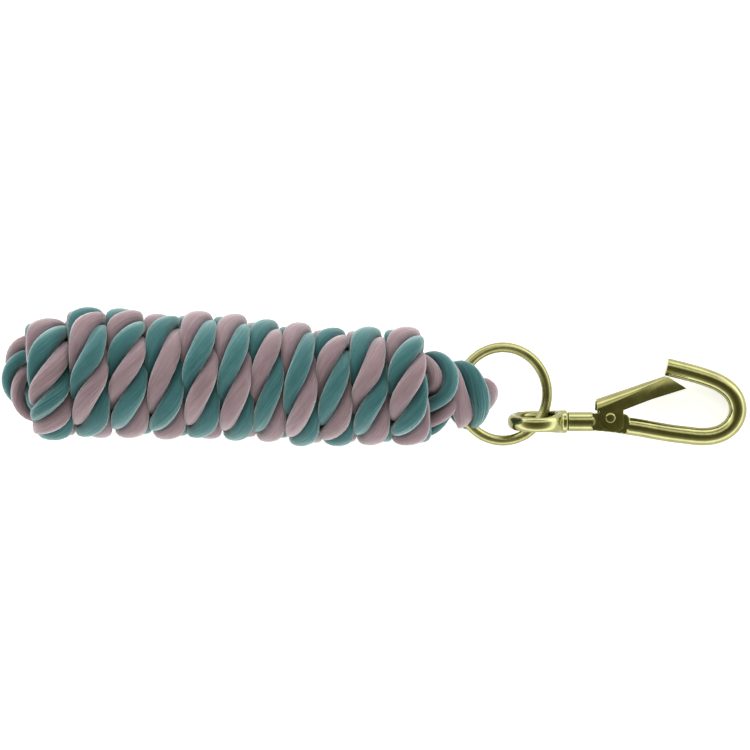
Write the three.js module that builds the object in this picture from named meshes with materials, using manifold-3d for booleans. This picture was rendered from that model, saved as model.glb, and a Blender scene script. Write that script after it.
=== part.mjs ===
// Twisted cotton lead rope wound into a hank, with a welded ring in its spliced eye and a swivel boat snap on the ring.
// Millimetres, +Z up. The rope lies along X, its hardware points to +X, and the origin is under the middle of its box, on the surface it lies on.
import * as THREE from "three";
import { mergeVertices } from "three/addons/utils/BufferGeometryUtils.js";
import Module from "manifold-3d";

const wasm = await Module();
wasm.setup();

// ---------------------------------------------------------------- driving dimensions
const GAP = 0.3; // clearance between neighbouring pieces

// the wound hank: 16.5 mm rope wrapped round two core runs
const HANK_R = 29.0; // outside radius of the wraps
const HANK_Z = 27.5; // height of the hank's axis: the underside is pressed flat
const HANK_X0 = -155.0; // left end face
const HANK_X1 = 24.3; // right end face
const HANK_END_R0 = 21.5; // radius of the left end face
const HANK_END_R1 = 19.0; // radius of the right end face
const HANK_ROUND = 9.0; // length of the rounded shoulder at each end
const HANK_TURN_DEG = -1.8; // the hank lies slightly turned about Z
const HANK_MID = [-68.0, -0.9]; // point that the hank's axis passes through
const HANK_SIDES = 40;

// the fold of the core that stands out of the left end
const FOLD_X = -170.6;
const FOLD_W = 42.0; // across, along Y
const FOLD_T = 16.5; // rope thickness
const FOLD_Y = 1.9;

// the spliced eye round the ring's wire
const EYE_R = 11.6; // centreline radius of the loop
const EYE_ROPE_R = 7.4; // rope radius in the loop
const EYE_NECK_R = 9.0;

// welded ring: 38 mm inside, 4.7 mm wire
const RING_R = 21.35; // centreline radius
const RING_WIRE_R = 2.35;
const RING_TILT_DEG = 18.0; // its far side lies lower than its rope side
const RING_ROPE_SIDE = [38.6, -8.0, 20.4]; // the wire's centre inside the rope eye

// swivel eye
const SW = [74.0, -20.7, 13.35]; // centre of the swivel eye, on the snap's long axis
const SW_PITCH_DEG = 5.65; // the snap slopes down from the eye to the hook
const SW_ROLL_DEG = 8.0; // the eye's plane leans from upright
const SW_R = 10.9; // centreline radius of the eye
const SW_SEC = [2.2, 3.1]; // half section: radial, axial
const SW_SHOULDER_R = 5.3;
const STEM_R = 2.2;
const STEM_HEAD_R = 3.0;
const STEM_END = 24.4;

// snap body, in its own plane: u runs along the swivel axis from the eye's centre, v across
const NECK_R = 4.5;
const NECK_U = [14.5, 27.2];
const BORE_R = 2.5;
const BORE_HEAD_R = 3.3;
const BORE_HEAD_U = [21.0, 24.8];
const ROD_R = 4.1;
const HOOK_LINE = [
  [30.0, -0.3],
  [38.9, -1.5],
  [48.1, -2.85],
  [55.0, -4.1],
  [61.9, -5.27],
  [69.7, -6.25],
  [75.7, -6.85],
  [81.2, -6.6],
  [86.5, -4.9],
  [90.9, -1.3],
  [93.3, 4.3],
  [92.5, 9.8],
  [89.9, 13.9],
  [85.1, 17.5],
  [78.4, 20.3],
  [69.9, 22.8],
  [60.2, 25.2],
];
const LUG_T = 4.0; // half thickness of the lug between the gate's ears
const RIVET = [33.8, 1.74];
const RIVET_R = 1.5;
const RIVET_HEAD_R = 2.35;
const SLOT_T = 1.9; // half width of the spring's slot

// gate: sheet folded to a channel, with an ear each side of the lug
const GATE_IN = 4.4; // half width inside
const GATE_OUT = 5.3; // half width outside
const SHEET = 0.9;
const GATE_SIDE = [
  [27.8, 10.44],
  [59.0, 20.85],
  [61.0, 20.2],
  [69.0, 15.2],
  [52.9, 10.2],
  [39.8, 5.2],
  [39.8, -1.9],
  [37.9, -4.2],
  [32.4, -4.4],
  [29.7, -2.4],
  [28.4, 0.8],
  [28.9, 4.9],
  [27.8, 5.2],
];
const GATE_DEG = 18.44; // slope of the gate's back

// torsion spring round the rivet
const SPRING_R = 2.7;
const SPRING_WIRE_R = 0.4;
const SPRING_TURNS = 2.25;

// ---------------------------------------------------------------- helpers
const rad = THREE.MathUtils.degToRad;

function solid(geometry) {
  const g = geometry.clone();
  for (const k of Object.keys(g.attributes))
    if (k !== "position") g.deleteAttribute(k);
  const m = mergeVertices(g, 1e-4);
  const made = new wasm.Manifold(
    new wasm.Mesh({
      numProp: 3,
      vertProperties: new Float32Array(m.attributes.position.array),
      triVerts: new Uint32Array(m.index.array),
    }),
  );
  return made;
}

function geometryOf(s) {
  const m = s.getMesh();
  const g = new THREE.BufferGeometry();
  g.setAttribute(
    "position",
    new THREE.BufferAttribute(new Float32Array(m.vertProperties), 3),
  );
  g.setIndex(new THREE.BufferAttribute(new Uint32Array(m.triVerts), 1));
  g.computeVertexNormals();
  return g;
}

const moved = (g, x, y, z) => g.translate(x, y, z);

// a closed outline in the u-v plane, extruded from w0 to w1
function plate(points, w0, w1) {
  const shape = new THREE.Shape(points.map(([x, y]) => new THREE.Vector2(x, y)));
  const g = new THREE.ExtrudeGeometry(shape, {
    depth: w1 - w0,
    bevelEnabled: false,
    steps: 1,
  });
  return moved(g, 0, 0, w0);
}

// a round rod along a curve
function rod(points, r, steps, sides) {
  const curve = new THREE.CatmullRomCurve3(
    points.map(([x, y, z = 0]) => new THREE.Vector3(x, y, z)),
    false,
    "centripetal",
  );
  const shape = new THREE.Shape();
  for (let i = 0; i < sides; i++) {
    const a = (i / sides) * Math.PI * 2;
    const p = [r * Math.cos(a), r * Math.sin(a)];
    if (i) shape.lineTo(...p);
    else shape.moveTo(...p);
  }
  shape.closePath();
  return new THREE.ExtrudeGeometry(shape, {
    extrudePath: curve,
    steps,
    bevelEnabled: false,
  });
}

// a turned piece about the u axis: profile of [u, radius], from the axis back to the axis
function turned(profile, sides) {
  const g = new THREE.LatheGeometry(
    profile.map(([u, r]) => new THREE.Vector2(r, u)),
    sides,
  );
  // the lathe turns about +Y: lay it along +X
  return g.rotateZ(-Math.PI / 2);
}

// a closed ring about the Y axis with an elliptic section
function loop(R, radial, axial, around, section) {
  const pts = [];
  for (let i = 0; i <= section; i++) {
    const a = (i / section) * Math.PI * 2;
    const k = i === section ? 0 : a;
    pts.push(
      new THREE.Vector2(R + radial * Math.cos(k), axial * Math.sin(k)),
    );
  }
  return new THREE.LatheGeometry(pts, around);
}

function pin(r, w0, w1, at, sides = 20) {
  const g = new THREE.CylinderGeometry(r, r, w1 - w0, sides);
  g.rotateX(Math.PI / 2);
  return moved(g, at[0], at[1], (w0 + w1) / 2);
}

function block(x0, x1, y0, y1, z0, z1) {
  return moved(
    new THREE.BoxGeometry(x1 - x0, y1 - y0, z1 - z0),
    (x0 + x1) / 2,
    (y0 + y1) / 2,
    (z0 + z1) / 2,
  );
}

function outward(s) {
  return s.volume() < 0 ? (() => { throw new Error("inside out"); })() : s;
}

// ---------------------------------------------------------------- materials
const paint = (color, roughness, metalness) =>
  new THREE.MeshStandardMaterial({ color, roughness, metalness });
const COTTON_TEAL = paint(0x6f9e98, 0.95, 0);
const COTTON_PINK = paint(0xb39a9c, 0.95, 0);
const BRASS = paint(0xb7ad55, 0.28, 1);
const SHEET_BRASS = paint(0x8f8a45, 0.35, 1);
const SPRING_STEEL = paint(0x9a9a90, 0.35, 1);

// ---------------------------------------------------------------- rope
function hank() {
  const L = HANK_X1 - HANK_X0;
  const prof = [[0, 0]];
  const n = 4;
  for (let i = 0; i <= n; i++) {
    const a = (i / n) * (Math.PI / 2);
    prof.push([
      HANK_ROUND * (1 - Math.cos(a)),
      HANK_END_R0 + (HANK_R - HANK_END_R0) * Math.sin(a),
    ]);
  }
  for (let i = n; i >= 0; i--) {
    const a = (i / n) * (Math.PI / 2);
    prof.push([
      L - HANK_ROUND * (1 - Math.cos(a)),
      HANK_END_R1 + (HANK_R - HANK_END_R1) * Math.sin(a),
    ]);
  }
  prof.push([L, 0]);
  const round = turned(prof, HANK_SIDES);
  round.translate(HANK_X0 - HANK_MID[0], 0, HANK_Z);
  const body = outward(solid(round)).subtract(
    solid(block(-200, 200, -60, 60, -60, 0)),
  );
  const g = geometryOf(body);
  g.rotateZ(rad(HANK_TURN_DEG));
  return moved(g, HANK_MID[0], HANK_MID[1], 0);
}

function fold() {
  // a flat D: the two core runs and the turn that joins them
  const x1 = HANK_X0 - 1.1;
  const d = x1 - FOLD_X;
  const pts = [];
  const n = 14;
  const half = FOLD_W / 2;
  pts.push([x1, -half + 1.2]);
  pts.push([x1, half - 1.2]);
  for (let i = 0; i <= n; i++) {
    const t = (i / n) * Math.PI;
    const c = Math.sin(t);
    const s = Math.cos(t);
    pts.push([
      x1 - 0.6 - (d - 0.6) * Math.pow(c, 0.8),
      half * Math.sign(s) * Math.pow(Math.abs(s), 0.75),
    ]);
  }
  const shape = new THREE.Shape(
    pts.map(([x, y]) => new THREE.Vector2(x, y)),
  );
  // three slabs step the edge in, top and bottom
  const slab = (inset, w) => {
    const k = 1 - inset / 21;
    const g = new THREE.ExtrudeGeometry(shape, {
      depth: 2 * w,
      bevelEnabled: false,
      steps: 1,
    });
    g.translate(-x1, 0, -w);
    g.scale(k, k, 1);
    return solid(g.translate(x1, 0, 0));
  };
  const T = FOLD_T / 2;
  const s = slab(0, T * 0.45).add(slab(1.6, T * 0.8)).add(slab(4.2, T));
  return moved(geometryOf(s), 0, FOLD_Y, HANK_Z);
}

function ropeEye() {
  const ring = loop(EYE_R, EYE_ROPE_R, EYE_ROPE_R, 36, 12);
  ring.translate(...RING_ROPE_SIDE);
  const neck = turned(
    [
      [0, 0],
      [0, EYE_NECK_R],
      [10.0, EYE_NECK_R],
      [10.0, 0],
    ],
    20,
  );
  neck.translate(23.0, RING_ROPE_SIDE[1] + 1.5, HANK_Z - 4.5);
  const cut = block(-60, HANK_X1 + 0.9, -60, 60, -60, 90);
  return geometryOf(solid(ring).add(solid(neck)).subtract(solid(cut)));
}

// ---------------------------------------------------------------- ring
const ringCentre = new THREE.Vector3(
  RING_ROPE_SIDE[0] + RING_R * Math.cos(rad(RING_TILT_DEG)),
  RING_ROPE_SIDE[1],
  RING_ROPE_SIDE[2] - RING_R * Math.sin(rad(RING_TILT_DEG)),
);

function ring() {
  const g = loop(RING_R, RING_WIRE_R, RING_WIRE_R, 56, 12);
  return g.rotateX(Math.PI / 2); // its axis along Z
}

// ---------------------------------------------------------------- swivel eye
function swivelEye() {
  const eye = loop(SW_R, SW_SEC[0], SW_SEC[1], 40, 14);
  eye.rotateX(rad(SW_ROLL_DEG));
  const stem = turned(
    [
      [SW_R - 0.4, 0],
      [SW_R - 0.4, 3.4],
      [SW_R + 0.9, 4.6],
      [13.2, SW_SHOULDER_R],
      [NECK_U[0] - GAP, SW_SHOULDER_R],
      [NECK_U[0] - GAP, STEM_R],
      [BORE_HEAD_U[0] + GAP, STEM_R],
      [BORE_HEAD_U[0] + GAP, STEM_HEAD_R],
      [STEM_END - 0.4, STEM_HEAD_R],
      [STEM_END, STEM_HEAD_R - 0.6],
      [STEM_END, 0],
    ],
    24,
  );
  return geometryOf(solid(eye).add(solid(stem)));
}

// ---------------------------------------------------------------- snap body
function snapBody() {
  const neck = turned(
    [
      [NECK_U[0], 0],
      [NECK_U[0], NECK_R - 0.3],
      [NECK_U[0] + 0.4, NECK_R],
      [NECK_U[1] - 1.2, NECK_R],
      [NECK_U[1], LUG_T - 0.1],
      [NECK_U[1] + 1.5, LUG_T - 0.6],
      [NECK_U[1] + 1.5, 0],
    ],
    24,
  );
  const bore = turned(
    [
      [NECK_U[0] - 1, 0],
      [NECK_U[0] - 1, BORE_R],
      [BORE_HEAD_U[0], BORE_R],
      [BORE_HEAD_U[0], BORE_HEAD_R],
      [BORE_HEAD_U[1], BORE_HEAD_R],
      [BORE_HEAD_U[1], 0],
    ],
    24,
  );
  const outline = [
    [25.6, -4.1],
    [33.0, -4.75],
    [39.0, -5.55],
    [46.0, -6.7],
    [46.0, 1.0],
    [42.4, 1.8],
    [41.8, 3.5],
    [39.6, 3.9],
  ];
  for (let i = 1; i <= 8; i++) {
    const a = rad(25 + (i / 8) * 125);
    outline.push([RIVET[0] + 5.2 * Math.cos(a), RIVET[1] + 5.2 * Math.sin(a)]);
  }
  outline.push([27.2, 4.1], [25.6, 4.1]);
  const lug = plate(outline, -LUG_T, LUG_T);
  const hook = rod(HOOK_LINE.slice(1), ROD_R, 52, 14);
  const hole = pin(RIVET_R + GAP, -20, 20, RIVET);
  const slotRound = pin(3.8, -SLOT_T, SLOT_T, RIVET, 24);
  const slot = block(
    RIVET[0] - 3.8,
    RIVET[0] + 9.2,
    RIVET[1],
    RIVET[1] + 12,
    -SLOT_T,
    SLOT_T,
  );
  let s = solid(neck).add(solid(lug)).add(solid(hook));
  // rounded flanks: the lug is trimmed to the barrel's size
  s = s
    .subtract(solid(bore))
    .subtract(solid(hole))
    .subtract(solid(slotRound))
    .subtract(solid(slot));
  return geometryOf(s);
}

function rivet() {
  const w = GATE_OUT + 0.2;
  const shaft = pin(RIVET_R, -w - 0.3, w + 0.3, RIVET);
  const dome = (side) => {
    const g = new THREE.LatheGeometry(
      [
        [0, 0],
        [RIVET_HEAD_R, 0],
        [RIVET_HEAD_R, 0.45],
        [RIVET_HEAD_R * 0.7, 0.95],
        [0, 1.05],
      ].map(([r, h]) => new THREE.Vector2(r, h)),
      20,
    );
    g.rotateX(side > 0 ? Math.PI / 2 : -Math.PI / 2);
    return moved(g, RIVET[0], RIVET[1], side * w);
  };
  return geometryOf(solid(shaft).add(solid(dome(1))).add(solid(dome(-1))));
}

// ---------------------------------------------------------------- gate and spring
function gate() {
  const outer = plate(GATE_SIDE, -GATE_OUT, GATE_OUT);
  // the inside of the channel: the same outline, moved in from the back by the sheet's thickness
  const n = [Math.sin(rad(GATE_DEG)), -Math.cos(rad(GATE_DEG))];
  const at = ([u, v], d) => [u + n[0] * d, v + n[1] * d];
  const a = at([20, 10.44 + (20 - 27.8) * Math.tan(rad(GATE_DEG))], SHEET);
  const b = at([75, 10.44 + (75 - 27.8) * Math.tan(rad(GATE_DEG))], SHEET);
  const inner = plate([a, [20, -20], [80, -20], b], -GATE_IN, GATE_IN);
  const hole = pin(RIVET_R + GAP, -20, 20, RIVET);
  return geometryOf(solid(outer).subtract(solid(inner)).subtract(solid(hole)));
}

function spring() {
  // a along the gate's back, b towards it, from the rivet
  const c = Math.cos(rad(GATE_DEG));
  const s = Math.sin(rad(GATE_DEG));
  const P = (a, b, w) => [
    RIVET[0] + a * c - b * s,
    RIVET[1] + a * s + b * c,
    w,
  ];
  const pts = [];
  const per = 10;
  const n = Math.round(SPRING_TURNS * per);
  for (let i = 0; i < n; i++) {
    const t = Math.PI / 2 + (1 - i / n) * SPRING_TURNS * 2 * Math.PI;
    pts.push(P(SPRING_R * Math.cos(t), SPRING_R * Math.sin(t), 1.0 - (2.0 * i) / n));
  }
  pts.push(P(0, SPRING_R, -1.0), P(2.2, 2.95, -0.95), P(5.5, 4.6, -0.6));
  pts.push(P(9.5, 6.9, -0.2), P(13, 8.1, 0), P(17, 8.35, 0), P(21, 8.35, 0));
  return rod(pts, SPRING_WIRE_R, 72, 8);
}

// ---------------------------------------------------------------- assembly
const part = new THREE.Group();
const rope = new THREE.Group();
const hardware = new THREE.Group();

function put(parent, name, geometry, material) {
  const m = new THREE.Mesh(geometry, material);
  m.name = name;
  parent.add(m);
  return m;
}

put(rope, "rope_hank", hank(), COTTON_TEAL);
put(rope, "rope_core_fold", fold(), COTTON_TEAL);
put(rope, "rope_spliced_eye", ropeEye(), COTTON_PINK);

const ringMesh = put(hardware, "o_ring", ring(), BRASS);
ringMesh.position.copy(ringCentre);
ringMesh.rotation.y = rad(RING_TILT_DEG);

const snap = new THREE.Group();
snap.position.set(...SW);
snap.rotation.y = rad(SW_PITCH_DEG);
put(snap, "swivel_eye", swivelEye(), BRASS);
put(snap, "snap_body", snapBody(), BRASS);
put(snap, "gate_rivet", rivet(), BRASS);
put(snap, "snap_gate", gate(), SHEET_BRASS);
put(snap, "gate_spring", spring(), SPRING_STEEL);
hardware.add(snap);

const all = new THREE.Group();
all.add(rope, hardware);
part.add(all);

// the origin: middle of the box, on the surface
part.updateMatrixWorld(true);
const box = new THREE.Box3().setFromObject(part, true);
all.position.set(-(box.min.x + box.max.x) / 2, -(box.min.y + box.max.y) / 2, -box.min.z);

export default part;
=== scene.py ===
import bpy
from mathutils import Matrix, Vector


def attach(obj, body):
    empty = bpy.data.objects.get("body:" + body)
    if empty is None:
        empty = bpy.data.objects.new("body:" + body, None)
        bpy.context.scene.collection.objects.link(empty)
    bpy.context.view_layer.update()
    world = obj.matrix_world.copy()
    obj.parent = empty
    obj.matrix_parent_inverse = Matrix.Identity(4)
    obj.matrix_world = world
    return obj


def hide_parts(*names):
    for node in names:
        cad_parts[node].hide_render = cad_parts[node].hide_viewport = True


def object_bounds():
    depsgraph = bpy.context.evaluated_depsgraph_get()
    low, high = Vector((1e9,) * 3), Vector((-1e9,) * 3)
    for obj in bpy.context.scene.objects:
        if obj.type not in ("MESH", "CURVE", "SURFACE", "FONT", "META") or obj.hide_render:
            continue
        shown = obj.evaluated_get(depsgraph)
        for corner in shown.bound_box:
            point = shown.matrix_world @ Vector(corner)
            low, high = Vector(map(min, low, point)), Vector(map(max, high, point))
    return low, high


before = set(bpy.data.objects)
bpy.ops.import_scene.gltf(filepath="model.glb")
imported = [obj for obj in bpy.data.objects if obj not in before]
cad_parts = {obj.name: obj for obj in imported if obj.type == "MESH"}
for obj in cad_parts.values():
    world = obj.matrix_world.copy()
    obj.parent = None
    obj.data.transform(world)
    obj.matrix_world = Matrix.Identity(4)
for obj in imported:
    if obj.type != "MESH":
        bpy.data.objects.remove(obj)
cad_lo, cad_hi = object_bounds()
cad_lo, cad_hi = [float(x) for x in cad_lo], [float(x) for x in cad_hi]

import math
import bpy
import numpy as np

scene = bpy.context.scene
MM = 0.001

# ---------------------------------------------------------------- camera
cam_data = bpy.data.cameras.new("camera")
cam_data.type = "PERSP"
cam_data.sensor_width = 36.0
cam_data.lens = 36.0 * 5980.0 / 343.5
cam_data.clip_start = 0.1
cam_data.clip_end = 20.0
cam_data.dof.use_dof = False
camera = bpy.data.objects.new("camera", cam_data)
camera.location = (0.00004, 0.00167, 6.0)
camera.rotation_euler = (0.0, 0.0, 0.0)
scene.collection.objects.link(camera)
scene.camera = camera


# ---------------------------------------------------------------- small maths
def pchip(x, y, q):
    """Monotone cubic interpolation of y(x) at q, straight beyond the ends."""
    x, y, q = np.asarray(x, float), np.asarray(y, float), np.asarray(q, float)
    h, d = np.diff(x), np.diff(y) / np.diff(x)
    m = np.zeros(len(x))
    m[0], m[-1] = d[0], d[-1]
    for i in range(1, len(x) - 1):
        if d[i - 1] * d[i] > 0:
            w1, w2 = 2 * h[i] + h[i - 1], h[i] + 2 * h[i - 1]
            m[i] = (w1 + w2) / (w1 / d[i - 1] + w2 / d[i])
    k = np.clip(np.searchsorted(x, q) - 1, 0, len(h) - 1)
    t = (q - x[k]) / h[k]
    inside = np.clip(t, 0, 1)
    h00 = 2 * inside**3 - 3 * inside**2 + 1
    h10 = inside**3 - 2 * inside**2 + inside
    h01 = -2 * inside**3 + 3 * inside**2
    h11 = inside**3 - inside**2
    v = h00 * y[k] + h10 * h[k] * m[k] + h01 * y[k + 1] + h11 * h[k] * m[k + 1]
    v = v + np.where(t < 0, t * h[k] * m[k], 0) + np.where(t > 1, (t - 1) * h[k] * m[k + 1], 0)
    return v


def catmull(points, per):
    """A smooth curve through the points (centripetal Catmull-Rom), with per samples to a span."""
    p = np.asarray(points, float)
    p = np.vstack([2 * p[0] - p[1], p, 2 * p[-1] - p[-2]])
    out = []
    for i in range(1, len(p) - 2):
        a, b, c, d = p[i - 1], p[i], p[i + 1], p[i + 2]
        t0 = 0.0
        t1 = t0 + max(np.linalg.norm((b - a)[:3]) ** 0.5, 1e-6)
        t2 = t1 + max(np.linalg.norm((c - b)[:3]) ** 0.5, 1e-6)
        t3 = t2 + max(np.linalg.norm((d - c)[:3]) ** 0.5, 1e-6)
        for j in range(per):
            t = t1 + (t2 - t1) * j / per
            a1 = (t1 - t) / (t1 - t0) * a + (t - t0) / (t1 - t0) * b
            a2 = (t2 - t) / (t2 - t1) * b + (t - t1) / (t2 - t1) * c
            a3 = (t3 - t) / (t3 - t2) * c + (t - t2) / (t3 - t2) * d
            b1 = (t2 - t) / (t2 - t0) * a1 + (t - t0) / (t2 - t0) * a2
            b2 = (t3 - t) / (t3 - t1) * a2 + (t - t1) / (t3 - t1) * a3
            out.append((t2 - t) / (t2 - t1) * b1 + (t - t1) / (t2 - t1) * b2)
    out.append(p[-2])
    return np.array(out)


def unit(v):
    return v / np.maximum(np.linalg.norm(v, axis=-1, keepdims=True), 1e-12)


def smooth_noise(seed, n, step):
    """n values of a smooth repeatable random line, about -1 to 1."""
    r = np.random.default_rng(seed)
    knots = r.uniform(-1, 1, int(n / step) + 4)
    x = np.arange(n) / step
    k = x.astype(int)
    f = x - k
    f = f * f * (3 - 2 * f)
    return knots[k] * (1 - f) + knots[k + 1] * f


# ---------------------------------------------------------------- the rope's route, in mm in the row frame
AXIS_Z = 27.5
ROPE_OUT = 8.65                      # outside radius of the open rope
# one row to a visible wrap, left to right: x of its middle, y of its axis, outside radius, width
WRAPS = np.array([
    [-148.35, -0.2, 28.1, 19.2],
    [-130.26, 2.9, 30.8, 16.9],
    [-112.86, 2.3, 29.7, 17.4],
    [-95.70, 1.0, 29.0, 16.7],
    [-79.65, 1.8, 29.8, 16.1],
    [-64.10, 0.4, 29.2, 15.4],
    [-49.20, -0.7, 27.8, 15.0],
    [-34.10, -2.7, 28.3, 15.1],
    [-18.70, -3.7, 27.3, 15.4],
    [-2.50, -3.3, 27.4, 16.3],
    [14.90, -3.4, 27.6, 17.3],
])
# the strands that face up in each wrap, from +Y to -Y: y of the middle, strand colour (0 teal, 1 pink)
LEAVES = [
    [(20.91, 0), (3.50, 1), (-10.24, 0), (-22.60, 1)],
    [(31.44, 0), (22.74, 1), (8.54, 0), (-6.57, 1), (-18.48, 0)],
    [(17.70, 0), (3.04, 1), (-11.15, 0), (-22.15, 1)],
    [(20.91, 0), (4.88, 1), (-13.44, 0), (-24.89, 1)],
    [(26.86, 1), (12.20, 0), (-4.74, 1), (-18.94, 0)],
    [(23.65, 1), (8.08, 0), (-10.24, 1), (-24.89, 0)],
    [(24.57, 0), (9.91, 1), (-9.78, 0), (-24.89, 1)],
    [(20.91, 1), (3.96, 0), (-14.36, 1), (-28.10, 0)],
    [(21.82, 0), (11.29, 1), (-4.74, 0), (-20.77, 1)],
    [(19.53, 0), (2.13, 1), (-13.44, 0), (-27.18, 1)],
    [(21.82, 1), (10.83, 0), (-2.91, 1), (-18.02, 0)],
]
LEAN = 1.8
tops = math.pi / 2 + 2 * math.pi * np.arange(11)
turn_keys, turn_x = [], []
for k in range(11):
    turn_keys += [2 * math.pi * k, math.pi / 2 + 2 * math.pi * k, math.pi + 2 * math.pi * k]
    turn_x += [WRAPS[k, 0] - LEAN, WRAPS[k, 0], WRAPS[k, 0] + LEAN]
turn_keys.append(20 * math.pi + math.radians(225))      # the right-hand end starts in a bight under the hank
turn_x.append(11.2)
turn_keys, turn_x = np.array(turn_keys), np.array(turn_x)


def wrap_point(turn):
    """Centreline, outward direction and width scale at these turn angles."""
    x = pchip(turn_keys, turn_x, turn)
    y = pchip(tops, WRAPS[:, 1], turn)
    y = np.where(turn < tops[0], WRAPS[0, 1], np.where(turn > tops[-1], WRAPS[-1, 1], y))
    r = pchip(tops, WRAPS[:, 2], np.clip(turn, tops[0], tops[-1])) - ROPE_OUT
    w = pchip(tops, WRAPS[:, 3], np.clip(turn, tops[0], tops[-1]))
    c, s = np.cos(turn), np.sin(turn)
    p = np.stack([x, y + r * c, AXIS_Z + r * s], 1)
    d = np.stack([np.zeros_like(c), c, s], 1)
    return p, d, (w / 2 + 1.35) / ROPE_OUT


axis_y = lambda x: np.interp(x, WRAPS[:, 0], WRAPS[:, 1])

# each section: rows of x, y, z, outward x, y, z, scale outward, scale across
sections, marks = [], []          # marks: (section, row, strand colour)
EYE_W = np.array([38.4, -6.6])
EYE_U = np.array([0.809, -0.588])
EYE_LOOP_Z = 20.4


def eye_row(a, z, sn, sb, side=0.0):
    q = EYE_W + EYE_U * a + np.array([EYE_U[1], -EYE_U[0]]) * -side
    rx, rz = a, z - EYE_LOOP_Z
    n = math.hypot(rx, rz)
    return [q[0], q[1], z, EYE_U[0] * rx / n, EYE_U[1] * rx / n, rz / n, sn, sb]


eye = [
    eye_row(-19.0, 19.5, 0.62, 0.80),
    eye_row(-14.0, 13.5, 0.72, 1.00),
    eye_row(-7.5, 10.3, 0.80, 1.15),
    eye_row(0.0, 9.6, 0.84, 1.25),
    eye_row(6.0, 11.2, 0.84, 1.35),
    eye_row(9.8, 15.4, 0.82, 1.45),
    eye_row(10.6, 20.6, 0.80, 1.50),
    eye_row(9.6, 25.8, 0.82, 1.52),
    eye_row(6.0, 30.0, 0.85, 1.53, 0.6),
    eye_row(0.0, 31.6, 0.88, 1.53, 1.2),
    eye_row(-6.5, 30.6, 0.95, 1.52, 1.2),
]
neck = [
    [26.5, -0.5, 26.0, 0, 0, 1, 1.0, 1.35],
    [18.0, -1.5, 23.5, 0, 0, 1, 0.9, 1.1],
    [6.0, -9.2, 27.5, 0, 0, 1, 0.72, 0.72],
]
core_a = [[x, axis_y(x) - 6.0, AXIS_Z, 0, 0, 1, 0.70, 0.70] for x in np.linspace(-8, -136, 9)]
BIGHT = np.array([-151.0, 1.7])
bight = []
for a in np.linspace(-80, 80, 9):
    t = math.radians(a)
    r = 11.6
    bight.append([BIGHT[0] - r * math.cos(t), BIGHT[1] + (r + 2.4) * math.sin(t), AXIS_Z,
                  -0.4 * math.cos(t), 0.4 * math.sin(t), 1.0, 0.99, 0.99])
core_b = [[x, axis_y(x) + 6.0, AXIS_Z, 0, 0, 1, 0.70, 0.70] for x in np.linspace(-136, 4, 9)]
cross = [
    [15.5, 3.6, 29.5, 0.0, 0.3, 1, 0.85, 0.85],
    [23.6, 5.0, 34.0, 0.1, 0.5, 1, 0.98, 1.02],
    [30.2, 1.4, 36.8, 0.45, 0.3, 1, 1.0, 1.06],
    [31.8, -4.8, 36.4, 0.6, 0.0, 1, 1.0, 1.08],
    [28.8, -11.6, 32.8, 0.5, -0.5, 1, 1.0, 1.04],
    [25.0, -16.8, 25.6, 0.3, -1.0, 0.5, 0.96, 0.96],
    [23.6, -18.9, 17.6, 0.2, -1.0, 0.1, 0.90, 0.88],
    [18.6, -19.0, 11.2, 0.0, -1.0, -0.3, 0.88, 0.86],
]
START = 20 * math.pi + math.radians(212)
END = -math.radians(75)
turn = np.linspace(START, END, 900)
wp, wd, ws = wrap_point(turn)
wrap_rows = np.hstack([wp, wd, np.ones((900, 1)), ws[:, None]])
tail = []
for i, t in enumerate(np.linspace(0.12, 0.6, 4)):
    p, d, s = wrap_point(np.array([END - t]))
    q = p[0] - d[0] * (2.5 * (i + 1))
    tail.append([q[0] + 1.5 * (i + 1), q[1], q[2], *d[0], 0.9 - 0.06 * i, 0.9 - 0.06 * i])

manual = np.array(eye + neck + core_a + bight + core_b + cross, float)
first = catmull(np.vstack([manual, wrap_rows[:1], wrap_rows[6:7]]), 14)[:-14]
route = np.vstack([first, wrap_rows[1:], catmull(np.vstack([wrap_rows[-1:], np.array(tail)]), 10)[1:]])
seg = np.linalg.norm(np.diff(route[:, :3], axis=0), axis=1)
arc = np.concatenate([[0], np.cumsum(seg)])


def at_manual(row):
    """Distance along the rope of a control row, which may be fractional."""
    i = row * 14
    return float(np.interp(i, np.arange(len(arc)), arc))


def at_turn(t):
    i0 = len(first) - 1
    q = wrap_point(np.array([t]))[0][0]
    lo, hi = i0, i0 + 899
    d = np.linalg.norm(route[lo:hi, :3] - q, axis=1)
    return float(arc[lo + int(np.argmin(d))])


N_EYE, N_NECK, N_A, N_B = len(eye), len(neck), len(core_a), len(bight)
b0 = N_EYE + N_NECK + N_A
c0 = b0 + N_B + len(core_b)
facing = [                              # distance along the rope and the colour that faces out there
    (at_manual(4.1), 1), (at_manual(7.05), 0), (at_manual(9.4), 1),
    (at_manual(b0 + 2.8), 1), (at_manual(b0 + 5.3), 0), (at_manual(b0 + 7.7), 1),
    (at_manual(c0 + 1.05), 1), (at_manual(c0 + 2.75), 0),
]
for k in range(10, -1, -1):
    x, yc, r, w = WRAPS[k]
    angles = []
    for y_leaf, colour in LEAVES[k]:
        c = (y_leaf - yc) / r
        a = math.acos(float(np.clip(c * (1.10 + 0.45 * c * c), -0.99, 0.99)))
        if angles:
            a = max(a, angles[-1][0] + math.radians(21))
        angles.append((a, colour))
    if k == 0:                          # the outermost wrap lies looser than the rest
        angles = [(math.radians(d), c) for d, c in ((4, 1), (48, 0), (84, 1), (114, 0), (144, 1))]
    for a, colour in reversed(angles):
        facing.append((at_turn(a + 2 * math.pi * k), colour))
PITCH = 12.4
count = [facing[0][1]]
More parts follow.
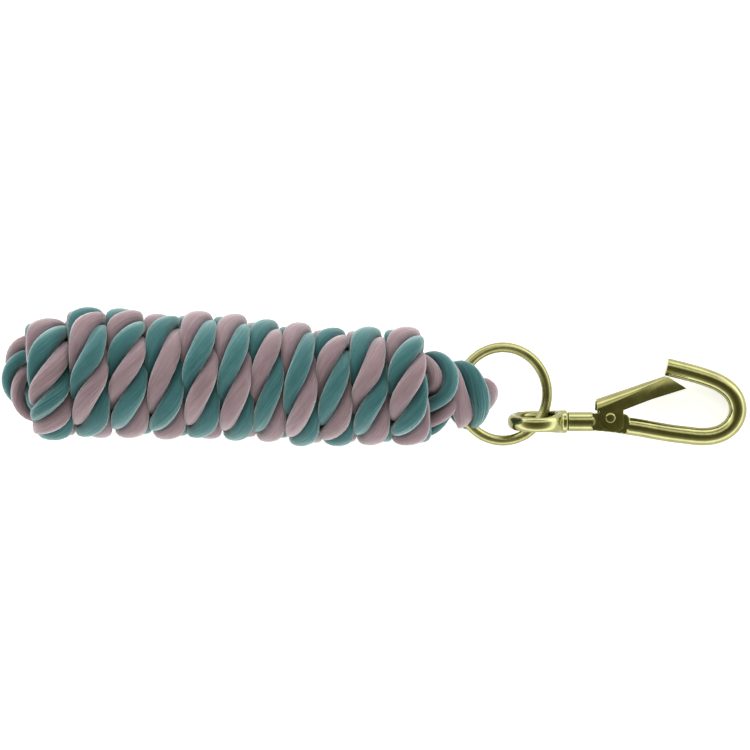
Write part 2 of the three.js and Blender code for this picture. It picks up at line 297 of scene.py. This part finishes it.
for (s0, c_0), (s1, c_1) in zip(facing[:-1], facing[1:]):
    n = (s1 - s0) / PITCH
    step = c_1 != c_0
    k = int(round((n - step) / 2)) * 2 + step
    count.append(count[-1] + max(k, 1 if step else 2))
fs = np.array([f[0] for f in facing])
phase_at = np.array(count, float) * math.pi / 2

# ---------------------------------------------------------------- resample, frames
STEP = 1.6
n_ring = int(arc[-1] / STEP)
s = np.linspace(0, arc[-1], n_ring)
R = np.stack([np.interp(s, arc, route[:, j]) for j in range(8)], 1)
for _ in range(3):                     # take out the small kinks between sections
    R[1:-1] = R[1:-1] * 0.5 + (R[:-2] + R[2:]) * 0.25
P, D, SN, SB = R[:, :3], R[:, 3:6], R[:, 6], R[:, 7]
T = unit(np.gradient(P, axis=0))
N = unit(D - (D * T).sum(1, keepdims=True) * T)
B = np.cross(T, N)
PH = -pchip(fs, phase_at, s)
slope = math.pi / 2 / PITCH
PH = np.where(s < fs[0], -(phase_at[0] + (s - fs[0]) * slope), PH)
PH = np.where(s > fs[-1], -(phase_at[-1] + (s - fs[-1]) * slope), PH)
wrap_from = float(arc[len(first) - 1])
PRESS = 1.0 + 0.36 * np.clip((s - wrap_from + 20) / 20, 0, 1) * np.clip((s[-1] - s) / 20, 0, 1)

# ---------------------------------------------------------------- four strands
AROUND = 22
C0, R0 = 5.0, 3.70
verts, faces, slots, uvs, comb, crease_shade = [], [], [], [], [], []
COMBED = [(at_manual(6.95), 11.0), (at_turn(math.acos(np.clip((-10.70 - WRAPS[0, 1]) / WRAPS[0, 2] * 1.15, -1, 1))), 11.0)]
end_in = np.clip(s / 5.0, 0, 1)
end_out = np.clip((s[-1] - s) / 5.0, 0, 1)
taper = np.sqrt(1 - (1 - np.minimum(end_in, end_out)) ** 2) * 0.65 + 0.35
phi = np.linspace(0, 2 * math.pi, AROUND, endpoint=False)
# mask for painted shade: the sides of each strand that turn in towards the rope's core, down in the creases between
# strands
inward = np.clip((np.minimum(phi, 2 * math.pi - phi) - math.radians(58)) / math.radians(58), 0, 1)
inward = (inward * inward * (3 - 2 * inward))[None]
for i in range(4):
    alpha = -PH + i * math.pi / 2
    lump = 1 + 0.035 * smooth_noise(11 + i, n_ring, 9) + 0.02 * smooth_noise(31 + i, n_ring, 3.5)
    r = R0 * lump
    rho = C0 + r[:, None] * np.cos(phi)[None] * (1 + 0.02 * np.sin(3 * phi + i)[None])
    tau = r[:, None] * np.sin(phi)[None]
    tau = np.clip(tau, -np.maximum(rho - 0.12, 0.02), np.maximum(rho - 0.12, 0.02))
    ca, sa = np.cos(alpha)[:, None], np.sin(alpha)[:, None]
    n_off = (rho * ca - tau * sa) * (SN * taper)[:, None]
    b_off = (rho * sa + tau * ca) * (SB * taper)[:, None]
    lim = (SB * taper * ROPE_OUT)[:, None]
    q = b_off * PRESS[:, None] / lim
    pressed = lim * q / (1 + np.abs(q) ** 3.6) ** (1 / 3.6)
    # painted shade between wraps, where the pressed strands meet the next wrap; joined with the inward mask above
    between = np.clip((np.abs(q) - 0.82) / 0.5, 0, 1) * (PRESS[:, None] > 1.001)
    crease_shade.append((1 - (1 - inward) * (1 - 0.6 * between)).reshape(-1))
    b_off = np.where(PRESS[:, None] > 1.001, pressed, b_off)
    ring = P[:, None] + N[:, None] * n_off[..., None] + B[:, None] * b_off[..., None]
    ring[..., 2] = np.where(ring[..., 2] < 1.2, 1.2 - 1.1 * np.tanh((1.2 - ring[..., 2]) / 1.6), ring[..., 2])
    base = sum(len(v) for v in verts)
    verts.append(ring.reshape(-1, 3))
    idx = base + np.arange(n_ring * AROUND).reshape(n_ring, AROUND)
    nxt = np.roll(idx, -1, axis=1)
    quads = np.stack([idx[:-1], nxt[:-1], nxt[1:], idx[1:]], -1).reshape(-1, 4)
    faces += quads.tolist()
    slots += [i % 2] * len(quads)
    u0 = (s[:-1, None] * MM * 1.15 + 0.37 * i) * np.ones((1, AROUND))
    u1 = (s[1:, None] * MM * 1.15 + 0.37 * i) * np.ones((1, AROUND))
    v0 = np.arange(AROUND)[None] / AROUND * 0.026 * np.ones((n_ring - 1, 1))
    v1 = v0 + 0.026 / AROUND
    face_out = np.clip(np.cos(alpha) * 2.0 - 0.5, 0, 1)
    local = np.zeros(n_ring)
    for centre, wide in COMBED:
        local = np.maximum(local, np.exp(-(((s - centre) / wide) ** 4)))
    comb.append(np.repeat(local * face_out * (1 - i % 2), AROUND))
    uvs.append(np.stack([np.stack([u0, v0], -1), np.stack([u0, v1], -1), np.stack([u1, v1], -1), np.stack([u1, v0], -1)], 2).reshape(-1, 2))
    cap = base + n_ring * AROUND
    comb.append(np.zeros(2))
    crease_shade.append(np.zeros(2))
    verts.append(np.array([ring[0].mean(0) - T[0] * 1.2, ring[-1].mean(0) + T[-1] * 1.2]))
    for j in range(AROUND):
        k = (j + 1) % AROUND
        faces.append([cap, int(idx[0, k]), int(idx[0, j])])
        faces.append([cap + 1, int(idx[-1, j]), int(idx[-1, k])])
        slots += [i % 2] * 2
        uvs.append(np.array([[0, 0], [0, 0.001], [0, 0.002]] * 2))
V = np.vstack(verts) * MM


def mesh_object(name, v, f, materials, face_slots=None, uv=None, smooth=True):
    me = bpy.data.meshes.new(name)
    me.from_pydata([tuple(p) for p in v], [], [tuple(q) for q in f])
    for m in materials:
        me.materials.append(m)
    if face_slots is not None:
        me.polygons.foreach_set("material_index", np.array(face_slots, np.int32))
    if uv is not None:
        layer = me.uv_layers.new(name="yarn")
        layer.data.foreach_set("uv", np.asarray(uv, np.float32).ravel())
    if smooth:
        me.polygons.foreach_set("use_smooth", np.ones(len(me.polygons), bool))
    me.validate()
    me.update()
    o = bpy.data.objects.new(name, me)
    scene.collection.objects.link(o)
    return o


# ---------------------------------------------------------------- materials
def node_material(name):
    m = bpy.data.materials.new(name)
    m.use_nodes = True
    nt = m.node_tree
    nt.nodes.clear()
    out = nt.nodes.new("ShaderNodeOutputMaterial")
    bsdf = nt.nodes.new("ShaderNodeBsdfPrincipled")
    nt.links.new(bsdf.outputs[0], out.inputs[0])
    return m, nt, bsdf


def ramp(nt, source, stops):
    r = nt.nodes.new("ShaderNodeValToRGB")
    els = r.color_ramp.elements
    while len(els) > 1:
        els.remove(els[0])
    els[0].position, els[0].color = stops[0][0], (*stops[0][1], 1)
    for pos, col in stops[1:]:
        e = els.new(pos)
        e.color = (*col, 1)
    nt.links.new(source, r.inputs[0])
    return r.outputs[0]


def cotton(name, dark, mid, light, sheen_tint):
    m, nt, bsdf = node_material(name)
    uv = nt.nodes.new("ShaderNodeUVMap")
    uv.uv_map = "yarn"
    # fibres: fine streaks that follow the strand
    fine = nt.nodes.new("ShaderNodeMapping")
    fine.inputs["Scale"].default_value = (260, 2600, 1)
    fine.inputs["Rotation"].default_value = (0, 0, 0.28)
    nt.links.new(uv.outputs[0], fine.inputs[0])
    n1 = nt.nodes.new("ShaderNodeTexNoise")
    n1.inputs["Scale"].default_value = 1.0
    n1.inputs["Detail"].default_value = 3.0
    n1.inputs["Roughness"].default_value = 0.62
    nt.links.new(fine.outputs[0], n1.inputs["Vector"])
    # rovings: wider soft ridges
    wide = nt.nodes.new("ShaderNodeMapping")
    wide.inputs["Scale"].default_value = (60, 900, 1)
    wide.inputs["Rotation"].default_value = (0, 0, 0.22)
    nt.links.new(uv.outputs[0], wide.inputs[0])
    n2 = nt.nodes.new("ShaderNodeTexNoise")
    n2.inputs["Scale"].default_value = 1.0
    n2.inputs["Detail"].default_value = 1.5
    nt.links.new(wide.outputs[0], n2.inputs["Vector"])
    # slow change of shade from place to place
    geo = nt.nodes.new("ShaderNodeTexCoord")
    n3 = nt.nodes.new("ShaderNodeTexNoise")
    n3.inputs["Scale"].default_value = 55.0
    n3.inputs["Detail"].default_value = 2.0
    nt.links.new(geo.outputs["Object"], n3.inputs["Vector"])
    add = nt.nodes.new("ShaderNodeMath")
    add.operation = "MULTIPLY_ADD"
    add.inputs[1].default_value = 0.45
    nt.links.new(n1.outputs[0], add.inputs[0])
    half = nt.nodes.new("ShaderNodeMath")
    half.operation = "MULTIPLY"
    half.inputs[1].default_value = 0.30
    nt.links.new(n2.outputs[0], half.inputs[0])
    nt.links.new(half.outputs[0], add.inputs[2])
    add2 = nt.nodes.new("ShaderNodeMath")
    add2.operation = "MULTIPLY_ADD"
    add2.inputs[1].default_value = 0.25
    nt.links.new(n3.outputs[0], add2.inputs[0])
    nt.links.new(add.outputs[0], add2.inputs[2])
    # the frayed ends are combed out: their fibres stand apart
    loose = nt.nodes.new("ShaderNodeAttribute")
    loose.attribute_name = "comb"
    coarse = nt.nodes.new("ShaderNodeMapping")
    coarse.inputs["Scale"].default_value = (45, 1150, 1)
    coarse.inputs["Rotation"].default_value = (0, 0, -0.9)
    nt.links.new(uv.outputs[0], coarse.inputs[0])
    n4 = nt.nodes.new("ShaderNodeTexNoise")
    n4.inputs["Scale"].default_value = 1.0
    n4.inputs["Detail"].default_value = 2.5
    nt.links.new(coarse.outputs[0], n4.inputs["Vector"])
    mid4 = nt.nodes.new("ShaderNodeMath")
    mid4.operation = "SUBTRACT"
    mid4.inputs[1].default_value = 0.47
    nt.links.new(n4.outputs[0], mid4.inputs[0])
    amount = nt.nodes.new("ShaderNodeMath")
    amount.operation = "MULTIPLY"
    nt.links.new(mid4.outputs[0], amount.inputs[0])
    nt.links.new(loose.outputs["Fac"], amount.inputs[1])
    add3 = nt.nodes.new("ShaderNodeMath")
    add3.operation = "MULTIPLY_ADD"
    add3.inputs[1].default_value = 1.1
    nt.links.new(amount.outputs[0], add3.inputs[0])
    nt.links.new(add2.outputs[0], add3.inputs[2])
    colour = ramp(nt, add3.outputs[0], [(0.34, dark), (0.5, mid), (0.68, light)])
    # painted shade: darker colour and less sheen down in the creases between strands and between wraps, where shade
    # falls
    crease_shade_fac = nt.nodes.new("ShaderNodeAttribute")
    crease_shade_fac.attribute_name = "crease_shade"
    shade = nt.nodes.new("ShaderNodeMix")
    shade.data_type = "RGBA"
    shade.blend_type = "MULTIPLY"
    nt.links.new(crease_shade_fac.outputs["Fac"], shade.inputs[0])
    nt.links.new(colour, shade.inputs[6])
    # the colour the creases are multiplied by, a painted shade
    shade.inputs[7].default_value = (0.62, 0.67, 0.72, 1)
    nt.links.new(shade.outputs[2], bsdf.inputs["Base Color"])
    # the sheen weight is lowered in the same painted-shade creases
    bloom = nt.nodes.new("ShaderNodeMath")
    bloom.operation = "MULTIPLY_ADD"
    bloom.inputs[1].default_value = -0.5
    bloom.inputs[2].default_value = 1.0
    nt.links.new(crease_shade_fac.outputs["Fac"], bloom.inputs[0])
    nt.links.new(bloom.outputs[0], bsdf.inputs["Sheen Weight"])
    bsdf.inputs["Roughness"].default_value = 0.92
    bsdf.inputs["Specular IOR Level"].default_value = 0.15
    bsdf.inputs["Sheen Roughness"].default_value = 0.43
    bsdf.inputs["Sheen Tint"].default_value = (*sheen_tint, 1)
    hsum = nt.nodes.new("ShaderNodeMath")
    hsum.operation = "MULTIPLY_ADD"
    hsum.inputs[1].default_value = 0.4
    nt.links.new(n1.outputs[0], hsum.inputs[0])
    nt.links.new(n2.outputs[0], hsum.inputs[2])
    hall = nt.nodes.new("ShaderNodeMath")
    hall.operation = "MULTIPLY_ADD"
    hall.inputs[1].default_value = 4.0
    nt.links.new(amount.outputs[0], hall.inputs[0])
    nt.links.new(hsum.outputs[0], hall.inputs[2])
    bump = nt.nodes.new("ShaderNodeBump")
    bump.inputs["Strength"].default_value = 0.55
    bump.inputs["Distance"].default_value = 0.0006
    nt.links.new(hall.outputs[0], bump.inputs["Height"])
    nt.links.new(bump.outputs[0], bsdf.inputs["Normal"])
    return m


teal = cotton("cotton_teal", (0.018, 0.072, 0.077), (0.029, 0.105, 0.111), (0.048, 0.148, 0.152), (0.80, 1.0, 0.97))
pink = cotton("cotton_pink", (0.152, 0.100, 0.111), (0.204, 0.140, 0.154), (0.266, 0.198, 0.211), (1.0, 0.95, 0.97))


def brass(name, base, rough, scale=1.0, grain=0.12):
    m, nt, bsdf = node_material(name)
    co = nt.nodes.new("ShaderNodeTexCoord")
    n1 = nt.nodes.new("ShaderNodeTexNoise")
    n1.inputs["Scale"].default_value = 160.0 * scale
    n1.inputs["Detail"].default_value = 4.0
    nt.links.new(co.outputs["Object"], n1.inputs["Vector"])
    n2 = nt.nodes.new("ShaderNodeTexNoise")
    n2.inputs["Scale"].default_value = 1500.0 * scale
    n2.inputs["Detail"].default_value = 3.0
    nt.links.new(co.outputs["Object"], n2.inputs["Vector"])
    d = tuple(c * 0.86 for c in base)
    l = tuple(min(1, c * 1.10) for c in base)
    nt.links.new(ramp(nt, n1.outputs[0], [(0.3, d), (0.5, base), (0.7, l)]), bsdf.inputs["Base Color"])
    rr = nt.nodes.new("ShaderNodeMapRange")
    rr.inputs["From Min"].default_value = 0.3
    rr.inputs["From Max"].default_value = 0.7
    rr.inputs["To Min"].default_value = rough * 0.8
    rr.inputs["To Max"].default_value = rough * 1.35
    nt.links.new(n1.outputs[0], rr.inputs["Value"])
    nt.links.new(rr.outputs[0], bsdf.inputs["Roughness"])
    bsdf.inputs["Metallic"].default_value = 1.0
    bump = nt.nodes.new("ShaderNodeBump")
    bump.inputs["Strength"].default_value = grain
    bump.inputs["Distance"].default_value = 0.0002
    nt.links.new(n2.outputs[0], bump.inputs["Height"])
    nt.links.new(bump.outputs[0], bsdf.inputs["Normal"])
    return m


ring_brass = brass("ring_brass", (0.265, 0.258, 0.110), 0.24)
cast_brass = brass("cast_brass", (0.292, 0.285, 0.124), 0.12, 1.0, 0.10)
sheet_brass = brass("sheet_brass", (0.268, 0.258, 0.104), 0.17, 1.0, 0.08)
spring_wire = brass("spring_wire", (0.50, 0.50, 0.46), 0.25)

# ---------------------------------------------------------------- the rope piece
rope = mesh_object("rope", V, faces, [teal, pink], slots, np.vstack(uvs))
patch = rope.data.attributes.new("comb", "FLOAT", "POINT")
patch.data.foreach_set("value", np.concatenate(comb).astype(np.float32))
# the per-vertex mask of painted shade in the creases, read by both cotton materials
crease_shade_attr = rope.data.attributes.new("crease_shade", "FLOAT", "POINT")
crease_shade_attr.data.foreach_set("value", np.concatenate(crease_shade).astype(np.float32))
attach(rope, "rope")
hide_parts("rope_hank", "rope_core_fold", "rope_spliced_eye")
path = [tuple(p) for p in (P[::2] * MM)]
if tuple(P[-1] * MM) != path[-1]:
    path.append(tuple(P[-1] * MM))

# ---------------------------------------------------------------- metal
def rot_y(deg):
    c, s = math.cos(math.radians(deg)), math.sin(math.radians(deg))
    return np.array([[c, 0, s], [0, 1, 0], [-s, 0, c]])


SNAP_ROT = rot_y(5.65)
SNAP_AT = np.array([73.81, -19.717, 13.35])
to_snap = lambda v: np.asarray(v, float) @ SNAP_ROT.T + SNAP_AT


def sweep(points, radius, sides, ends=0.0):
    """A closed round rod along the points, with its ends rounded over by the length given."""
    p = np.asarray(points, float)
    t = unit(np.gradient(p, axis=0))
    n = np.cross(t[0], [0, 0, 1.0])
    if np.linalg.norm(n) < 0.1:
        n = np.array([1.0, 0, 0])
    ang = np.linspace(0, 2 * math.pi, sides, endpoint=False)
    rows = []
    for i in range(len(p)):
        n = unit(n - (n @ t[i]) * t[i])
        b = np.cross(t[i], n)
        rows.append(p[i] + radius * (np.cos(ang)[:, None] * n + np.sin(ang)[:, None] * b))
    if ends:
        first_row, last_row = rows[0], rows[-1]
        head = [p[0] - t[0] * ends + (first_row - p[0]) * (1 - ends / radius)]
        foot = [p[-1] + t[-1] * ends + (last_row - p[-1]) * (1 - ends / radius)]
        rows = head + rows + foot
    return tube(np.array(rows))


def tube(rows):
    """Rings of points, closed with a fan at each end."""
    m, k = rows.shape[:2]
    v = rows.reshape(-1, 3).tolist()
    f = []
    for i in range(m - 1):
        for j in range(k):
            q = (j + 1) % k
            f.append((i * k + j, i * k + q, (i + 1) * k + q, (i + 1) * k + j))
    v += [rows[0].mean(0).tolist(), rows[-1].mean(0).tolist()]
    c = m * k
    for j in range(k):
        q = (j + 1) % k
        f.append((c, q, j))
        f.append((c + 1, (m - 1) * k + j, (m - 1) * k + q))
    return v, f


def lathe(profile, sides):
    """Turned about the u axis: profile of (u, radius) from the axis back to the axis."""
    ang = np.linspace(0, 2 * math.pi, sides, endpoint=False)
    rows = [[(u, r * math.cos(a), r * math.sin(a)) for a in ang] for u, r in profile if r > 0]
    v, f = tube(np.array(rows))
    v[-2], v[-1] = [profile[0][0], 0, 0], [profile[-1][0], 0, 0]
    return v, f


def ring_mesh(radius, radial, axial, around, section, bead=None, flare=0.0):
    """A ring about the Y axis."""
    v, f = [], []
    for i in range(around):
        a = 2 * math.pi * i / around
        grow = flare * max(0.0, math.cos(a)) ** 2.5
        k = 1.0 if bead is None else 1 + 0.04 * math.exp(-(((a - bead + math.pi) % (2 * math.pi) - math.pi) / 0.05) ** 2)
        for j in range(section):
            b = 2 * math.pi * j / section
            r = radius + radial * k * math.cos(b)
            v.append((r * math.cos(a), (axial + grow) * k * math.sin(b), r * math.sin(a)))
    for i in range(around):
        for j in range(section):
            i1, j1 = (i + 1) % around, (j + 1) % section
            f.append((i * section + j, i * section + j1, i1 * section + j1, i1 * section + j))
    return v, f


def prism(outline, w0, w1):
    n = len(outline)
    v = [(x, y, w0) for x, y in outline] + [(x, y, w1) for x, y in outline]
    f = [tuple(range(n))[::-1], tuple(range(n, 2 * n))]
    f += [(i, (i + 1) % n, n + (i + 1) % n, n + i) for i in range(n)]
    return v, f


def joined(*parts):
    v, f = [], []
    for pv, pf in parts:
        base = len(v)
        v += [tuple(p) for p in pv]
        f += [tuple(base + i for i in q) for q in pf]
    return v, f


def raw(name, part, place=None, outward_faces=True):
    v, f = part
    v = np.asarray([tuple(p) for p in v], float)
    if place is not None:
        v = place(v)
    o = mesh_object(name, v * MM, f, [])
    import bmesh
    bm = bmesh.new()
    bm.from_mesh(o.data)
    bmesh.ops.recalc_face_normals(bm, faces=bm.faces)
    bm.to_mesh(o.data)
    bm.free()
    return o


def baked(o):
    """Applies the object's modifiers to its mesh."""
    dg = bpy.context.evaluated_depsgraph_get()
    me = bpy.data.meshes.new_from_object(o.evaluated_get(dg))
    o.modifiers.clear()
    o.data = me
    return o


def fused(o, voxel, smooth):
    """One skin round overlapping parts, softened as a casting is."""
    m = o.modifiers.new("skin", "REMESH")
    m.mode = "VOXEL"
    m.voxel_size = voxel * MM
    if smooth:
        sm = o.modifiers.new("soft", "SMOOTH")
        sm.factor = 0.5
        sm.iterations = smooth
    return baked(o)


def cut(o, *tools):
    for tool in tools:
        m = o.modifiers.new("cut", "BOOLEAN")
        m.operation = "DIFFERENCE"
        m.solver = "EXACT"
        m.object = tool
    baked(o)
    for tool in tools:
        bpy.data.objects.remove(tool)
    return o


def finish_piece(o, material, body, slot, *nodes, angle=35):
    o.data.materials.clear()
    o.data.materials.append(material)
    o.data.polygons.foreach_set("use_smooth", np.ones(len(o.data.polygons), bool))
    o.data.set_sharp_from_angle(angle=math.radians(angle))
    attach(o, body)
    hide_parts(*nodes)


# the welded ring
RING_CENTRE = np.array([38.41 + 21.35 * math.cos(math.radians(18)), -7.017, 20.4 - 21.35 * math.sin(math.radians(18))])
rv, rf = ring_mesh(21.35, 2.35, 2.35, 160, 28, bead=math.radians(58.5))
rv = [(x, -z, y) for x, y, z in rv]
ring_o = raw("ring", (rv, rf), lambda v: v @ rot_y(18.0).T + RING_CENTRE)
finish_piece(ring_o, ring_brass, "ring", "ring_brass", "o_ring")

# the swivel eye and its stem
c8, s8 = math.cos(math.radians(8)), math.sin(math.radians(8))
ev, ef = ring_mesh(10.9, 2.2, 3.35, 120, 28, flare=1.7)
ev = [(x, y * c8 - z * s8, y * s8 + z * c8) for x, y, z in ev]
shoulder = lathe([(8.9, 0), (8.9, 3.2), (9.3, 4.5), (10.2, 5.15), (11.2, 5.3), (13.9, 5.3), (14.2, 5.05), (14.2, 0)], 48)
eye_o = fused(raw("swivel_eye_cast", joined((ev, ef), shoulder), to_snap), 0.28, 5)
stem = raw("swivel_stem", lathe([(13.0, 0), (13.0, 2.2), (21.3, 2.2), (21.3, 3.0), (24.0, 3.0), (24.4, 2.4), (24.4, 0)], 40), to_snap)
finish_piece(eye_o, cast_brass, "eye", "cast_brass", "swivel_eye")
finish_piece(stem, cast_brass, "eye", "cast_brass")

# the snap's body: barrel, lug and hook in one casting
HOOK = [(30, -0.3), (38.9, -1.5), (48.1, -2.85), (55, -4.1), (61.9, -5.27), (69.7, -6.25), (75.7, -6.85), (81.2, -6.6),
        (86.5, -4.9), (90.9, -1.3), (93.3, 4.3), (92.5, 9.8), (89.9, 13.9), (85.1, 17.5), (78.4, 20.3), (69.9, 22.8), (60.2, 25.2)]
hook_line = catmull([(x, y, 0.0) for x, y in HOOK[1:]], 8)
hook_part = sweep(hook_line, 4.1, 40)
barrel = lathe([(14.5, 0), (14.5, 4.1), (14.9, 4.5), (26.0, 4.5), (27.2, 3.95), (29.0, 3.5), (29.0, 0)], 48)
outline = [(25.6, -4.1), (33.0, -4.75), (39.0, -5.45), (41.2, -5.7), (43.0, 1.2), (42.5, 2.4), (41.6, 3.2), (39.6, 3.9)]
for i in range(1, 13):
    a = math.radians(25 + i / 12 * 125)
    outline.append((33.8 + 5.2 * math.cos(a), 1.74 + 5.2 * math.sin(a)))
outline += [(27.2, 4.1), (25.6, 4.1)]
body_o = fused(raw("snap_casting", joined(barrel, prism(outline, -4.0, 4.0), hook_part), to_snap), 0.3, 5)
bore = raw("t1", lathe([(12.5, 0), (12.5, 2.5), (21.0, 2.5), (21.0, 3.3), (24.8, 3.3), (24.8, 0)], 36), to_snap)
pin_line = [(33.8, 1.74, w) for w in np.linspace(-9, 9, 4)]
pin_hole = raw("t2", sweep(pin_line, 1.8, 28), to_snap)
spring_room = raw("t3", sweep([(33.8, 1.74, w) for w in (-1.9, 0, 1.9)], 3.8, 32), to_snap)
slot_box = raw("t4", prism([(30.0, 1.74), (43.0, 1.74), (43.0, 13.7), (30.0, 13.7)], -1.9, 1.9), to_snap)
cut(body_o, bore, pin_hole, spring_room, slot_box)
finish_piece(body_o, cast_brass, "snap", "cast_brass", "snap_body")

# rivet through gate and lug
w = 5.5
half = [(0.0, 1.5), (w, 1.5), (w, 2.35), (w + 0.3, 2.3), (w + 0.5, 2.05), (w + 0.62, 1.4), (w + 0.68, 0.6), (w + 0.69, 0.0)]
prof = [(-u, r) for u, r in half[::-1]][:-1] + half[1:]
lv, lf = lathe(prof, 40)
rivet_o = raw("rivet", ([(y + 33.8, z + 1.74, x) for x, y, z in lv], lf), to_snap)
finish_piece(rivet_o, cast_brass, "snap", "cast_brass", "gate_rivet", angle=50)

# gate: sheet folded over its back, an ear each side of the lug
SIDE = [(27.8, 10.44), (59.0, 20.85), (61.0, 20.2), (69.0, 15.2), (52.9, 10.2), (39.8, 5.2), (39.8, -1.9), (39.5, -2.9), (37.9, -4.2),
        (35.2, -4.75), (32.4, -4.4), (29.7, -2.4), (28.4, 0.8), (28.9, 4.9), (27.8, 5.2)]
gs, gc = math.sin(math.radians(18.44)), math.cos(math.radians(18.44))
inset = lambda d: [(20 + gs * d, 10.44 - 7.8 * gs / gc - gc * d), (20, -20), (80, -20), (75 + gs * d, 10.44 + 47.2 * gs / gc - gc * d)]


def rounded_back(name, part, width):
    """A prism whose two long back edges are rolled over, as folded sheet is."""
    import bmesh
    o = raw(name, part)
    bm = bmesh.new()
    bm.from_mesh(o.data)
    picked = []
    for e in bm.edges:
        a, b = e.verts[0].co / MM, e.verts[1].co / MM
        if abs(a.z - b.z) < 0.01 and (b - a).length > 20:
            slope = abs((b.y - a.y) / (b.x - a.x)) if abs(b.x - a.x) > 1 else 9
            if abs(slope - 0.3335) < 0.02 and max(a.y, b.y) > 15:
                line = a.y - 10.44 - (a.x - 27.8) * 0.3335
                if line > -2.0:
                    picked.append(e)
    bmesh.ops.bevel(bm, geom=picked, offset=width * MM, segments=7, profile=0.5, affect="EDGES")
    bm.to_mesh(o.data)
    bm.free()
    v = np.zeros(len(o.data.vertices) * 3)
    o.data.vertices.foreach_get("co", v)
    v = to_snap(v.reshape(-1, 3) / MM) * MM
    o.data.vertices.foreach_set("co", v.ravel())
    return o


gate_o = rounded_back("gate", prism(SIDE, -5.3, 5.3), 4.8)
gate_in = rounded_back("t5", prism(inset(0.9), -4.4, 4.4), 3.9)
gate_pin = raw("t6", sweep(pin_line, 1.8, 28), to_snap)
cut(gate_o, gate_in, gate_pin)
bv = gate_o.modifiers.new("edge", "BEVEL")
bv.width = 0.38 * MM
bv.segments = 3
bv.limit_method = "ANGLE"
bv.angle_limit = math.radians(38)
baked(gate_o)
finish_piece(gate_o, sheet_brass, "gate", "sheet_brass", "snap_gate", angle=40)

# torsion spring
def at_gate(a, b, w):
    return (33.8 + a * gc - b * gs, 1.74 + a * gs + b * gc, w)


pts = []
for i in range(23):
    t = math.pi / 2 + (1 - i / 23) * 2.25 * 2 * math.pi
    pts.append(at_gate(2.7 * math.cos(t), 2.7 * math.sin(t), 1.0 - 2.0 * i / 23))
pts += [at_gate(0, 2.7, -1.0), at_gate(2.2, 2.95, -0.95), at_gate(5.5, 4.6, -0.6), at_gate(9.5, 6.9, -0.2), at_gate(13, 8.1, 0), at_gate(17, 8.35, 0), at_gate(21, 8.35, 0)]
spring_o = raw("spring", sweep(catmull(pts, 6), 0.4, 14), to_snap)
finish_piece(spring_o, spring_wire, "gate", "spring_wire", "gate_spring", angle=60)

# ---------------------------------------------------------------- floor, light
floor_mat, fnt, fb = node_material("floor")
fb.inputs["Base Color"].default_value = (0.92, 0.92, 0.92, 1)
fb.inputs["Roughness"].default_value = 0.9
fb.inputs["Specular IOR Level"].default_value = 0.0
fb.inputs["Emission Color"].default_value = (1, 1, 1, 1)
fb.inputs["Emission Strength"].default_value = 0.55
fl = mesh_object("floor", [(-4, -4, -0.0004), (4, -4, -0.0004), (4, 4, -0.0004), (-4, 4, -0.0004)], [(0, 1, 2, 3)], [floor_mat], smooth=False)

world = bpy.data.worlds.new("tent")
scene.world = world
world.use_nodes = True
wt = world.node_tree
wt.nodes.clear()
wout = wt.nodes.new("ShaderNodeOutputWorld")
bg = wt.nodes.new("ShaderNodeBackground")
wt.links.new(bg.outputs[0], wout.inputs[0])
tc = wt.nodes.new("ShaderNodeTexCoord")
sep = wt.nodes.new("ShaderNodeSeparateXYZ")
wt.links.new(tc.outputs["Generated"], sep.inputs[0])
# straight up is dimmer than the sides, as in a light tent with an opening for the lens
dim = ramp(wt, sep.outputs[2], [(0.0, (0.99, 0.99, 1.0)), (0.34, (0.94, 0.94, 0.97)), (0.50, (0.34, 0.34, 0.33)), (0.66, (0.172, 0.172, 0.145)), (0.88, (0.076, 0.075, 0.046)), (1.0, (0.049, 0.047, 0.020))])
# one long soft window on the +Y side
win = ramp(wt, sep.outputs[1], [(0.26, (0, 0, 0)), (0.38, (0.30, 0.30, 0.29)), (0.58, (0.50, 0.50, 0.50)), (0.72, (0, 0, 0))])
both = wt.nodes.new("ShaderNodeMix")
both.data_type = "RGBA"
both.blend_type = "ADD"
both.inputs[0].default_value = 1.0
wt.links.new(dim, both.inputs[6])
wt.links.new(win, both.inputs[7])
wt.links.new(both.outputs[2], bg.inputs[0])
bg.inputs[1].default_value = 3.3

scene.view_settings.view_transform = "Standard"
scene.view_settings.look = "None"
